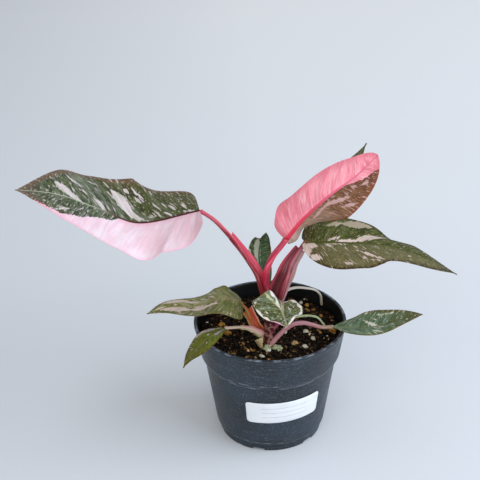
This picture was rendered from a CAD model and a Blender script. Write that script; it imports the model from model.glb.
"""A young pink princess philodendron in a round nursery pot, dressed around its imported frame.

Lengths in this file are millimetres in the frame's own axes: +Z up, origin at the centre of the pot's
underside. They become metres where a mesh is made. Each leaf is a blade on a petiole, and the petioles
grow from a short stem that stands in potting mix.
"""

from __future__ import annotations

import logging
import math
import random
from collections.abc import Iterable, Sequence
from dataclasses import dataclass
from enum import Enum
from functools import cached_property

import bmesh
import bpy
import numpy as np
from mathutils import Matrix, Vector, noise

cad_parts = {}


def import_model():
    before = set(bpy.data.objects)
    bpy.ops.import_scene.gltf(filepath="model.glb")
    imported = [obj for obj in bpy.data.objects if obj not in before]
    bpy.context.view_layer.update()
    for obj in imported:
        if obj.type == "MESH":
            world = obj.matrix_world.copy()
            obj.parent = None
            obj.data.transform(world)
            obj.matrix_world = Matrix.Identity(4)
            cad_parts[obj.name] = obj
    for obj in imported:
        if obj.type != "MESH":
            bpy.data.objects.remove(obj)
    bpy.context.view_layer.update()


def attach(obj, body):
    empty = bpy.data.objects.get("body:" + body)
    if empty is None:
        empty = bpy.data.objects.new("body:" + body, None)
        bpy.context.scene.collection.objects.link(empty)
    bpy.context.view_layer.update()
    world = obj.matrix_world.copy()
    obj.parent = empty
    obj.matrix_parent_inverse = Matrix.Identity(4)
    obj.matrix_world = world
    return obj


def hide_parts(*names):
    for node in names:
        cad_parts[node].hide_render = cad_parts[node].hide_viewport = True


log = logging.getLogger("philodendron")

MM = 0.001
MATH, RANGE, SPLIT = "ShaderNodeMath", "ShaderNodeMapRange", "ShaderNodeSeparateXYZ"
VECTOR, ATTRIBUTE = "ShaderNodeVectorMath", "ShaderNodeAttribute"
LEFT, RIGHT = 1, -1
Array = np.ndarray
Material, Thing = bpy.types.Material, bpy.types.Object
Node = bpy.types.Node
Link = Node | bpy.types.NodeSocket
Pair = tuple[float, float]
Three = tuple[float, float, float]
Rows = tuple[tuple[float, ...], ...]
Stops = tuple[tuple[float, str], ...]  # shares of a colour ramp with their colours
Faces = Iterable[Sequence[int]]  # each face as the numbers of its points
Body = tuple[Array, Faces]


# ---- Small tools ----


def linear(shade: str) -> tuple[float, ...]:
    """The linear red, green, blue and opacity of an sRGB colour written as "#RRGGBB"."""
    values = [int(shade[i : i + 2], 16) / 255 for i in (1, 3, 5)]
    return (*(v / 12.92 if v <= 0.04045 else ((v + 0.055) / 1.055) ** 2.4 for v in values), 1.0)


def add_node(tree: bpy.types.NodeTree, kind: str, *inputs: object, **settings: object) -> Node:
    """Adds a node with its settings, and fills or links its inputs.

    Args:
        tree: The shader or geometry tree.
        kind: The node's type name.
        *inputs: For each input in order a value, a hex colour, an output or a node, whose first output is
            meant. None leaves an input as it is, and a dictionary fills inputs by name or number.
        **settings: Properties of the node.

    Returns:
        The new node.
    """
    node = tree.nodes.new(kind)
    for name, value in settings.items():
        setattr(node, name, value)
    wanted = {}
    for number, value in enumerate(inputs):
        wanted.update(value if isinstance(value, dict) else {number: value})
    for socket, value in wanted.items():
        if isinstance(value, Node):
            value = value.outputs[0]
        if isinstance(value, bpy.types.NodeSocket):
            tree.links.new(value, node.inputs[socket])
        elif value is not None:
            node.inputs[socket].default_value = linear(value) if isinstance(value, str) else value
    return node


def smooth_step(low: float, high: float, value: Array) -> Array:
    """0 under low, 1 over high and a smooth rise between."""
    t = np.clip((value - low) / (high - low), 0, 1)
    return t * t * (3 - 2 * t)


def bump(offset: Array | float, width: Array | float) -> Array:
    """A bell of height 1 round an offset of 0."""
    return np.exp(-((offset / width) ** 2))


def clipped(size: float, density: Three) -> int:
    """How many rows a size takes, from the rows a millimetre, the fewest and the most."""
    return int(np.clip(size * density[0], *density[1:]))


def through_three(values: Sequence[float], t: Array) -> Array:
    """The values at t of a smooth curve through a value at 0, one half and 1."""
    first, middle, last = values
    return first * (1 - t) * (1 - 2 * t) + middle * 4 * t * (1 - t) + last * t * (2 * t - 1)


def unit(vectors: Array) -> Array:
    """The same directions with length 1."""
    return vectors / np.maximum(np.linalg.norm(vectors, axis=-1, keepdims=True), 1e-9)


def ring(sides: int) -> Array:
    """Even angles round a full turn."""
    return np.linspace(0, 2 * math.pi, sides, endpoint=False)


def softened(corners: Sequence[Pair], radius: float, steps: int = 4) -> list[Pair]:
    """A flat line with its corners rounded off.

    Args:
        corners: The line's points.
        radius: How far from each corner its rounding starts.
        steps: Points in a rounding.

    Returns:
        The points of the rounded line.
    """
    line = [corners[0]]
    for before, corner, after in zip(*(np.array(corners, float)[i:] for i in range(3))):
        start, end = (corner + (other - corner) * min(radius / math.dist(corner, other), 0.45)
                      for other in (before, after))
        line += [tuple((1 - t) ** 2 * start + 2 * t * (1 - t) * corner + t * t * end)
                 for t in np.linspace(0, 1, steps + 1)]
    return line + [corners[-1]]


def sheet_faces(grid: Array) -> tuple[Array, Array]:
    """The faces of a grid of point numbers, and the points of its outline in turn."""
    quads = np.stack([grid[:-1, :-1], grid[:-1, 1:], grid[1:, 1:], grid[1:, :-1]], -1).reshape(-1, 4)
    return quads, np.r_[grid[0, :-1], grid[:-1, -1], grid[-1, :0:-1], grid[:0:-1, 0]]


def linked(name: str, data: bpy.types.ID) -> Thing:
    """A new object in the scene's collection."""
    thing = bpy.data.objects.new(name, data)
    bpy.context.scene.collection.objects.link(thing)
    return thing


def make_mesh(name: str, points: Array, faces: Faces) -> bpy.types.Mesh:
    """Makes a plain mesh.

    Args:
        name: Its name.
        points: Its points in millimetres.
        faces: Index lists.

    Returns:
        The mesh.
    """
    mesh = bpy.data.meshes.new(name)
    mesh.from_pydata((points * MM).tolist(), [], [list(face) for face in faces])
    return mesh


def make_piece(name: str, points: Array, faces: Faces, material: Material,
               sharp_angle: float = 50.0, uv: Array | None = None, **attributes: Array) -> Thing:
    """Makes a smooth shaded object.

    Args:
        name: The object's name.
        points: The points in millimetres, one row each.
        faces: Index lists.
        material: Its material.
        sharp_angle: Edges that turn more than this many degrees stay sharp.
        uv: One flat place a point, from 0 to 1.
        **attributes: One vector a point each, which the material reads.

    Returns:
        The linked object.
    """
    mesh = make_mesh(name, points, faces)
    for key, values in attributes.items():
        mesh.attributes.new(key, "FLOAT_VECTOR", "POINT").data.foreach_set("vector", values.ravel())
    if uv is not None:
        corners = np.zeros(len(mesh.loops), dtype=np.int32)
        mesh.loops.foreach_get("vertex_index", corners)
        mesh.uv_layers.new(name="UVMap").data.foreach_set("uv", uv[corners].ravel())
    mesh.materials.append(material)
    mesh.shade_smooth()
    mesh.set_sharp_from_angle(angle=math.radians(sharp_angle))
    return linked(name, mesh)


def seat(piece: Thing, slot: str, *nodes: str) -> Thing:
    """Puts a piece on the frame's one body, in place of the frame's nodes.

    Args:
        piece: The finished piece.
        slot: The record's material slot.
        *nodes: The frame's nodes that it stands for.

    Returns:
        The piece.
    """
    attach(piece, "root")
    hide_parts(*nodes)
    log.info("%s: %d faces", piece.name, len(piece.data.polygons))
    return piece


class Tree:
    """A node tree in the making."""

    tree: bpy.types.NodeTree

    def add(self, kind: str, *inputs: object, **settings: object) -> Node:
        """Adds a node to the tree, as add_node does."""
        return add_node(self.tree, kind, *inputs, **settings)


class GeometryTool(Tree):
    """A geometry node tree with named sizes, which turns one object into a plain mesh."""

    KINDS = {int: "NodeSocketInt", float: "NodeSocketFloat"}

    def __init__(self, name: str, **sizes: float) -> None:
        """Starts the tree.

        Args:
            name: Its name.
            **sizes: Each named input and its value.
        """
        self.tree = bpy.data.node_groups.new(name, "GeometryNodeTree")
        self.sizes = sizes
        side = self.tree.interface
        for way in ("OUTPUT", "INPUT"):
            side.new_socket("Geometry", in_out=way, socket_type="NodeSocketGeometry")
        self.sockets = {key: side.new_socket(key, in_out="INPUT", socket_type=self.KINDS[type(value)])
                        for key, value in sizes.items()}
        self.given = self.tree.nodes.new("NodeGroupInput")

    def size(self, name: str) -> bpy.types.NodeSocket:
        """The output that carries a named size."""
        return self.given.outputs[name]

    def run(self, last: Node, start: Thing, material: Material, name: str) -> Thing:
        """Ends the tree, runs it on an object and keeps the result as a plain mesh.

        Args:
            last: The node whose geometry is wanted.
            start: The object that the tree starts from. It is removed.
            material: The result's material.
            name: The result's name.

        Returns:
            The new object.
        """
        real = self.add("GeometryNodeRealizeInstances", last)
        self.add("NodeGroupOutput", self.add("GeometryNodeSetMaterial", real, {"Material": material}))
        modifier = start.modifiers.new(self.tree.name, "NODES")
        modifier.node_group = self.tree
        for key, socket in self.sockets.items():
            modifier[socket.identifier] = self.sizes[key]
        graph = bpy.context.evaluated_depsgraph_get()
        mesh = bpy.data.meshes.new_from_object(start.evaluated_get(graph))
        bpy.data.objects.remove(start)
        mesh.name = name
        if not mesh.materials:
            mesh.materials.append(material)
        return linked(name, mesh)


class Rail:
    """A smooth line through points, with a frame that turns evenly from one facing to another."""

    SAMPLES = 300

    def __init__(self, points: Sequence[Three], facing: Sequence[Three]) -> None:
        """Measures the line.

        Args:
            points: The points that it runs through.
            facing: The way its upper side looks at its two ends.
        """
        self.points = np.array(points, float)
        self.params = np.linspace(0, 1, self.SAMPLES)
        lengths = np.r_[0, np.cumsum(np.linalg.norm(np.diff(self._place(self.params), axis=0), axis=1))]
        self.length = float(lengths[-1])
        self.shares = lengths / self.length
        ends = self._along(np.array([0.0, 1.0]))
        ups = np.array(facing, float)
        self.ups = unit(ups - (ups * ends).sum(1, keepdims=True) * ends)

    def _place(self, t: Array) -> Array:
        """Points of an even Catmull-Rom spline at t from 0 to 1."""
        line = self.points
        last = len(line) - 1
        at = np.clip(t, 0, 1) * last
        i = np.minimum(at.astype(int), last - 1)
        f = (at - i)[:, None]
        padded = np.vstack([2 * line[0] - line[1], line, 2 * line[-1] - line[-2]])
        a, b, c, d = (padded[i + k] for k in range(4))
        curve = (2 * a - 5 * b + 4 * c - d) * f**2 + (3 * b - a - 3 * c + d) * f**3
        return 0.5 * (2 * b + (c - a) * f + curve)

    def _along(self, t: Array, step: float = 1e-3) -> Array:
        """Directions of the line at t."""
        return unit(self._place(np.minimum(t + step, 1)) - self._place(np.maximum(t - step, 0)))

    def frame(self, share: Array) -> tuple[Array, Array, Array, Array]:
        """Frames at shares of the length, which may lie a little past its ends.

        Args:
            share: The shares.

        Returns:
            Centres, directions along, up and across.
        """
        inside = np.clip(share, 0, 1)
        t = np.interp(inside, self.shares, self.params)
        along = self._along(t)
        centre = self._place(t) + along * ((share - inside) * self.length)[:, None]
        up = (1 - inside)[:, None] * self.ups[0] + inside[:, None] * self.ups[1]
        up = unit(up - (up * along).sum(1, keepdims=True) * along)
        return centre, along, up, np.cross(up, along)

    def tube(self, shares: Array, across: Array, up: Array, ahead: Array | float = 0.0) -> Body:
        """Sweeps a ring along the line and closes its ends.

        Args:
            shares: The shares of the length where the ring is placed.
            across: Its points' distances across, one row a share.
            up: Their distances up. The ring runs anticlockwise seen against the line's way.
            ahead: Their distances ahead.

        Returns:
            The points, one ring after the other, and the faces.
        """
        centre, along, upward, sideways = (part[:, None] for part in self.frame(shares))
        ahead = np.broadcast_to(ahead, across.shape)
        points = centre + sideways * across[..., None] + upward * up[..., None] + along * ahead[..., None]
        rows, sides = across.shape
        start, around = np.arange(rows - 1)[:, None] * sides, np.arange(sides)
        a, b = start + around, start + np.roll(around, -1)
        walls = np.stack([a, b, b + sides, a + sides], -1).reshape(-1, 4)
        ends = [around[::-1].tolist(), (around + start.max() + sides).tolist()]
        return points.reshape(-1, 3), walls.tolist() + ends


# ---- Finishes ----


class Recipe(Tree):
    """A material in the making."""

    def __init__(self, name: str) -> None:
        """Starts the material under a name."""
        self.material = bpy.data.materials.new(name)
        self.material.use_nodes = True
        self.tree = self.material.node_tree
        self.shader = self.tree.nodes["Principled BSDF"]

    def millimetres(self) -> Node:
        """The surface's own place in millimetres."""
        place = self.add("ShaderNodeTexCoord").outputs["Object"]
        return self.add(VECTOR, place, (1 / MM,) * 3, operation="MULTIPLY")

    def spots(self, place: Link, size: Three | float, low: float, high: float, detail: float = 2.0,
              seed: float = 0.0, strength: float = 1.0) -> Node:
        """A mask of soft spots.

        Args:
            place: Where on the surface, in millimetres.
            size: How large the spots are, or how large along each axis of place.
            low: The noise level where the mask leaves 0.
            high: The noise level where it is full.
            detail: Octaves of finer noise.
            seed: Moves the pattern.
            strength: The full mask.

        Returns:
            The node that gives the mask.
        """
        sizes = size if isinstance(size, tuple) else (size,) * 3
        moved = self.add("ShaderNodeMapping", place, {
            "Location": (seed * 7.3, seed * 3.1, seed * 5.7), "Scale": tuple(1 / s for s in sizes)})
        cloud = self.add("ShaderNodeTexNoise", moved, {"Scale": 1.0, "Detail": detail})
        return self.add(RANGE, cloud, low, high, 0.0, strength, interpolation_type="SMOOTHSTEP")

    def distance(self, value: Link, level: float) -> Node:
        """How far a value lies from a level."""
        return self.add(MATH, self.add(MATH, value, level, operation="SUBTRACT"), operation="ABSOLUTE")

    def paint(self, ground: Link | str, layers: Iterable[tuple[Link, Link | str]]) -> Link | str:
        """Lays colours over each other.

        Args:
            ground: The lowest colour.
            layers: A mask and a colour each, from the lowest to the topmost.

        Returns:
            The colour that is seen.
        """
        for mask, over in layers:
            ground = self.add("ShaderNodeMix", {0: mask, 6: ground, 7: over}, data_type="RGBA").outputs[2]
        return ground

    def finish(self, colour: Link, roughness: Pair, fine: Link, height: Link, depth: float,
               **settings: object) -> Material:
        """Joins the patterns to the surface.

        Args:
            colour: The colour.
            roughness: The roughness where the fine pattern is 0 and where it is 1.
            fine: The fine pattern.
            height: The relief, from 0 to 1.
            depth: How far the relief stands out, in millimetres.
            **settings: Other values of the surface shader, with _ for a space.

        Returns:
            The finished material.
        """
        rough = self.add(RANGE, fine, 0.0, 1.0, *roughness)
        relief = self.add("ShaderNodeBump", {"Strength": 1.0, "Distance": depth * MM, "Height": height})
        for name, node in (("Roughness", rough), ("Normal", relief)):
            self.tree.links.new(node.outputs[0], self.shader.inputs[name])
        self.tree.links.new(colour, self.shader.inputs["Base Color"])
        for name, value in settings.items():
            self.shader.inputs[name.replace("_", " ")].default_value = value
        return self.material


@dataclass(frozen=True)
class BladeFinish:
    """Waxy living leaf skin with variegation: pigment is missing in streaks along the side veins."""

    dark: str
    light: str
    grey: str  # sectors where only the lower layers are green
    bronze: str  # new growth and margins
    pale: str = "#DCC9C6"
    pale_deep: str = "#B9AE9C"
    pink: str = "#F3C6D4"
    pink_deep: str = "#E498B0"
    thread: str = "#9AA08C"  # fine half green lines inside the pale streaks
    vein_tone: float = 0.3  # how much lighter the side veins are
    wisp: float = 0.3  # strength of the fine darker lines in the pink
    wisp_tone: str = "#D9AAB8"
    rib: str = "#B5173A"
    rib_tip: str = "#8FA08A"
    rib_change: Pair = (20.0, 75.0)  # where the rib turns from one to the other
    under: str = "#7A5A48"
    under_light: str = "#9A7F62"
    under_rim: str = "#7A5038"
    under_tip: str = "#7A5038"
    under_foot: str = "#8E7058"
    under_pale: str = "#B08E96"
    under_pink: str = "#E2879A"
    rose_shade: str = "#D08A98"  # dusky rose round the petiole, and how far along it reaches
    rose_reach: Pair = (0.0, 0.1)
    half_tone: str = "#000000"  # tone over one half, where the halves differ
    half_side: int = RIGHT
    half_strength: float = 0.0
    foot: str = "#55602E"  # tone round the petiole, and how far along it reaches
    foot_reach: Pair = (0.0, 1.0)
    tip: str = "#55602E"  # the same round the tip
    tip_reach: Pair = (199.0, 200.0)
    grey_level: float = 0.52  # noise level over which a sector is grey
    scale: float = 1.0  # size of all patterns, smaller on small leaves
    fray: float = 0.8  # how far the edges of the streaks wander
    fleck_level: float = 0.64  # noise level over which a fleck is pale
    dust_level: float = 0.68  # the same for the finest flecks
    bronze_reach: float = 3.0  # how far the bronze reaches in from the margin
    roughness: float = 0.42
    gloss: float = 0.38

    def material(self, name: str) -> Material:
        """Makes the material, which reads the blade's own attributes.

        Args:
            name: Its name.

        Returns:
            The material.
        """
        r = Recipe(name)
        skin, marks, relief, shades = (r.add(ATTRIBUTE, attribute_name=key).outputs["Vector"]
                                       for key in ("vein_place", "marks", "relief", "tone"))
        place = r.add(VECTOR, skin, (1 / self.scale,) * 3, operation="MULTIPLY")
        way_out, sideways, _ = r.add(SPLIT, skin).outputs
        pale_field, pink_field, margin = r.add(SPLIT, marks).outputs
        vein, rib, under = r.add(SPLIT, relief).outputs
        # Streaks fray along the veins, because the cells that lack pigment grew in files.
        frayed = r.add(MATH, r.spots(place, (1.5, 9, 4), 0.25, 0.75, 5), 2 * self.fray, -self.fray,
                       operation="MULTIPLY_ADD")
        pale, pink = (r.add(RANGE, r.add(MATH, field, frayed), -0.2, 0.2)
                      for field in (pale_field, pink_field))
        margin_way = r.add(MATH, frayed, 1.4, margin, operation="MULTIPLY_ADD")
        bronze = r.add(RANGE, margin_way, self.bronze_reach, self.bronze_reach * 0.25, 0.0, 0.9,
                       interpolation_type="SMOOTHSTEP")
        shift = r.add(MATH, frayed, 7.0, way_out, operation="MULTIPLY_ADD")
        sector = r.spots(place, (3.5, 60, 5), self.grey_level, self.grey_level + 0.1, seed=1, strength=0.8)
        mottle, fleck, dust, fine, tone, wisps, threads = (r.spots(place, *row) for row in (
            ((1.6, 6, 4), 0.4, 0.62, 5, 2),
            ((1.1, 8, 3), self.fleck_level, self.fleck_level + 0.04, 4, 3, 0.8),
            ((0.7, 1.8, 2), self.dust_level, self.dust_level + 0.05, 2, 4, 0.6),
            ((0.35, 0.5, 0.4), 0.3, 0.7, 3, 5),
            ((5, 26, 6), 0.35, 0.65, 3, 6),
            ((0.8, 14, 3), 0.45, 0.7, 3, 7, self.wisp),
            ((0.7, 16, 3), 0.5, 0.66, 3, 8, 0.55)))
        beige = r.add(MATH, tone, 0.35, r.add(SPLIT, shades), operation="MULTIPLY_ADD")
        deep = r.add(MATH, beige, 1.0, operation="MINIMUM")
        soft_tone, firm_tone, vein_line, fine_shade = (
            r.add(MATH, pattern, share, operation="MULTIPLY")
            for pattern, share in ((tone, 0.35), (tone, 0.6), (vein, self.vein_tone), (fine, 0.1)))
        cream = r.paint(self.pale, [(deep, self.pale_deep), (threads, self.thread)])
        dusk = (r.add(RANGE, shift, *self.rose_reach[::-1], 0.0, 0.85), self.rose_shade)
        near_foot = r.add(RANGE, shift, *self.foot_reach[::-1], 0.0, 0.75)
        near_tip = r.add(RANGE, shift, *self.tip_reach, 0.0, 0.8)
        rose = r.paint(self.pink, [
            (soft_tone, self.pink_deep),
            (r.add(RANGE, r.distance(sideways, 0.0), 7.0, 0.0, 0.0, 0.6), self.pink_deep), dusk,
            (r.add(RANGE, shift, 70.0, 112.0, 0.0, 0.6), self.pink_deep),
            (r.add(RANGE, margin, 2.5, 0.0, 0.0, 0.6), self.pink_deep),
            (wisps, self.wisp_tone), (vein_line, self.pale)])
        half = r.add(RANGE, sideways, -2.0 * self.half_side, 6.0 * self.half_side, 0.0, self.half_strength)
        upper = r.paint(self.dark, [
            (mottle, self.light), (sector, self.grey), (half, self.half_tone), (near_foot, self.foot),
            (near_tip, self.tip), (bronze, self.bronze), (vein_line, self.light), (dust, self.pale_deep),
            (fleck, cream), (pale, cream), (pink, rose)])
        under_rose = r.paint(self.under_pink, [
            (firm_tone, self.pink_deep), (wisps, self.pink), (vein_line, self.pink), dusk,
            (r.add(RANGE, margin, 8.0, 0.0, 0.0, 0.65), self.pink_deep)])
        lower = r.paint(self.under, [
            (mottle, self.under_light), (near_foot, self.under_foot), (near_tip, self.under_tip),
            (bronze, self.under_rim), (fleck, self.under_pale), (pale, self.under_pale), (pink, under_rose)])
        stalk = r.paint(self.rib, [(r.add(RANGE, way_out, *self.rib_change), self.rib_tip)])
        stalk_mask = r.add(RANGE, rib, 0.25, 0.6, interpolation_type="SMOOTHSTEP")
        colour = r.paint(upper, [(under, lower), (stalk_mask, stalk), (fine_shade, self.dark)])
        # A little light passes through the thin skin, which keeps the shaded side from going dead.
        rough = (self.roughness, self.roughness + 0.12)
        return r.finish(colour, rough, fine, r.add(MATH, fine, tone), 0.05, IOR=1.42,
                        Specular_IOR_Level=self.gloss, Subsurface_Weight=0.3,
                        Subsurface_Radius=(1.0, 0.6, 0.45), Subsurface_Scale=2 * MM)


@dataclass(frozen=True)
class PetioleFinish:
    """Smooth skin of a leaf stalk: its pigment runs in lengthwise streaks under a faint wax bloom."""

    outside: Stops  # round the back, from the left wing to the right
    inside: Stops
    top: str  # the stalk just under the blade
    foot: str
    streak: str
    streak_size: Three = (0.7, 16, 1)
    streak_strength: float = 0.45
    top_from: float = 0.75  # share of the length where the top tone begins
    roughness: float = 0.34

    def material(self, name: str) -> Material:
        """Makes the material, which reads the petiole's own attributes.

        Args:
            name: Its name.

        Returns:
            The material.
        """
        r = Recipe(name)
        place, section = (r.add(ATTRIBUTE, attribute_name=key).outputs["Vector"]
                          for key in ("grain_place", "section"))
        turn, share, inner = r.add(SPLIT, section).outputs
        wander = r.add(MATH, r.spots(place, (3, 22, 3), 0.2, 0.8, seed=1), 0.16, -0.08,
                       operation="MULTIPLY_ADD")
        turned = r.add(MATH, turn, wander)
        ramps = []
        for stops in (self.outside, self.inside):
            ramp = r.add("ShaderNodeValToRGB", turned)
            ramp.color_ramp.interpolation = "EASE"
            for _ in stops[2:]:
                ramp.color_ramp.elements.new(0.5)
            for element, (position, shade) in zip(ramp.color_ramp.elements, stops):
                element.position = position
                element.color = linear(shade)
            ramps.append(ramp.outputs["Color"])
        streaks = r.spots(place, self.streak_size, 0.5, 0.66, 3, 2, self.streak_strength)
        fine = r.spots(place, (0.22, 1.4, 0.3), 0.3, 0.7, seed=3)
        colour = r.paint(ramps[0], [
            (inner, ramps[1]), (streaks, self.streak),
            (r.add(RANGE, share, self.top_from, 1.0, 0.0, 0.85), self.top),
            (r.add(RANGE, share, 0.16, 0.0, 0.0, 0.85), self.foot)])
        rough = (self.roughness, self.roughness + 0.14)
        return r.finish(colour, rough, fine, r.add(MATH, fine, streaks), 0.06, Subsurface_Weight=0.08,
                        Subsurface_Radius=(1.2, 0.4, 0.3), Subsurface_Scale=1.5 * MM)


@dataclass(frozen=True)
class MouldedPlastic:
    """Polypropylene, injection moulded in a spark-eroded tool: a fine dull grain, scuffed on its edges."""

    base: str = "#1A222A"
    worn: str = "#2E3E4C"
    dust: str = "#9AA6B2"
    inner: str = "#08090A"  # the inner wall, smeared with damp mix
    grain: float = 0.7  # the moulding grain, drawn coarser than real so that it shows
    edges: tuple[float, ...] = (65.6, 62.0, 8.0, 89.8)  # their heights

    def material(self, name: str) -> Material:
        """Makes the material.

        Args:
            name: Its name.

        Returns:
            The material.
        """
        r = Recipe(name)
        place = r.millimetres()
        height = r.add(SPLIT, place).outputs[2]
        patch = r.spots(place, (26, 26, 18), 0.4, 0.7, 4, 1)
        layers = [(r.add(MATH, patch, 0.5, operation="MULTIPLY"), self.worn),
                  (r.spots(place, (14, 14, 0.5), 0.6, 0.72, 3, 2, 0.16), self.dust),
                  (r.spots(place, 0.8, 0.62, 0.7, 1, 3, 0.3), self.dust)]
        for number, edge in enumerate(self.edges):
            near = r.add(RANGE, r.distance(height, edge), 0.8, 0.1)
            rubbed = r.spots(place, (7, 7, 3), 0.46, 0.62, 4, 4 + number, 0.5)
            layers.append((r.add(MATH, near, rubbed, operation="MULTIPLY"), self.dust))
        # The inner wall is where the normal looks towards the pot's axis.
        normal = r.add("ShaderNodeNewGeometry").outputs["Normal"]
        outwards = r.add(VECTOR, place, normal, operation="DOT_PRODUCT").outputs["Value"]
        level = r.add(MATH, height, r.add(SPLIT, normal).outputs[2], operation="MULTIPLY")
        inside = r.add(RANGE, r.add(MATH, outwards, level, operation="SUBTRACT"), -8.0, -30.0)
        layers.append((inside, self.inner))
        pits = r.spots(place, self.grain, 0.35, 0.65)
        return r.finish(r.paint(self.base, layers), (0.34, 0.48), patch, pits, 0.05, IOR=1.49,
                        Specular_IOR_Level=0.38)


@dataclass(frozen=True)
class LabelPaper:
    """Coated label paper: smooth and white, a little uneven in tone, with faint ruled lines to write on."""

    base: str = "#E4E8EC"
    shade: str = "#D0D6DC"
    rule: str = "#9AA3AD"
    lines: Three = (0.3, 0.52, 0.74)  # shares of its height
    line_width: float = 0.018
    margins: Pair = (0.22, 0.8)

    def material(self, name: str) -> Material:
        """Makes the material, which reads the label's UV map.

        Args:
            name: Its name.

        Returns:
            The material.
        """
        r = Recipe(name)
        across, up, _ = r.add(SPLIT, r.add("ShaderNodeUVMap", uv_map="UVMap")).outputs
        place = r.millimetres()
        start, end = self.margins
        inside = r.add(MATH, r.add(RANGE, across, start - 0.01, start),
                       r.add(RANGE, across, end + 0.01, end), operation="MULTIPLY")
        layers = [(r.spots(place, (12, 12, 9), 0.4, 0.7, seed=1, strength=0.4), self.shade)]
        for line in self.lines:
            drawn = r.add(RANGE, r.distance(up, line), self.line_width, self.line_width * 0.5, 0.0, 0.5)
            layers.append((r.add(MATH, inside, drawn, operation="MULTIPLY"), self.rule))
        fibres = r.spots(place, 0.5, 0.3, 0.7, 3)
        return r.finish(r.paint(self.base, layers), (0.5, 0.5), fibres, fibres, 0.01)


@dataclass(frozen=True)
class CrumbFinish:
    """Loose natural crumbs: each grain has its own tone, and its broken face is rough."""

    tones: tuple[str, ...]
    grain: float = 0.5  # size of the roughness on a grain
    tone_size: float = 2.0  # about one grain, so that neighbours differ
    roughness: float = 0.85
    depth: float = 0.12

    def material(self, name: str) -> Material:
        """Makes the material.

        Args:
            name: Its name.

        Returns:
            The material.
        """
        r = Recipe(name)
        place = r.millimetres()
        layers = [(r.spots(place, self.tone_size, 0.5, 0.6, 1, number + 1), tone)
                  for number, tone in enumerate(self.tones[1:])]
        fine = r.spots(place, self.grain, 0.3, 0.7, 3)
        return r.finish(r.paint(self.tones[0], layers), (self.roughness - 0.15, self.roughness), fine, fine,
                        self.depth, Specular_IOR_Level=0.12)


# ---- The blades ----


@dataclass(frozen=True)
class Streak:
    """A pale streak in the flattened blade, from one place to another.

    A place is a distance along from the petiole and across from the midrib, the left half above zero.
    """

    along: float
    across: float
    end_along: float
    end_across: float
    width: float  # half width at its widest
    head: float = 0.5  # share of its length where it is widest
    beige: float = 0.0  # share of the deeper, greenish tone

    def depth(self, along: Array, across: Array) -> Array:
        """How far inside it places lie.

        Args:
            along: Places along the midrib.
            across: Places across from it.

        Returns:
            Depths in millimetres, less than 0 outside.
        """
        start = np.array([self.along, self.across])
        run = np.array([self.end_along, self.end_across]) - start
        off = np.stack([along, across], -1) - start
        t = np.clip(off @ run / (run @ run), 0, 1)
        gap = np.linalg.norm(off - t[:, None] * run, axis=1)
        taper = np.where(t < self.head, 1 - t / self.head, (t - self.head) / (1 - self.head))
        return self.width * (1 - 0.95 * taper**1.7) + 0.1 - gap


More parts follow.
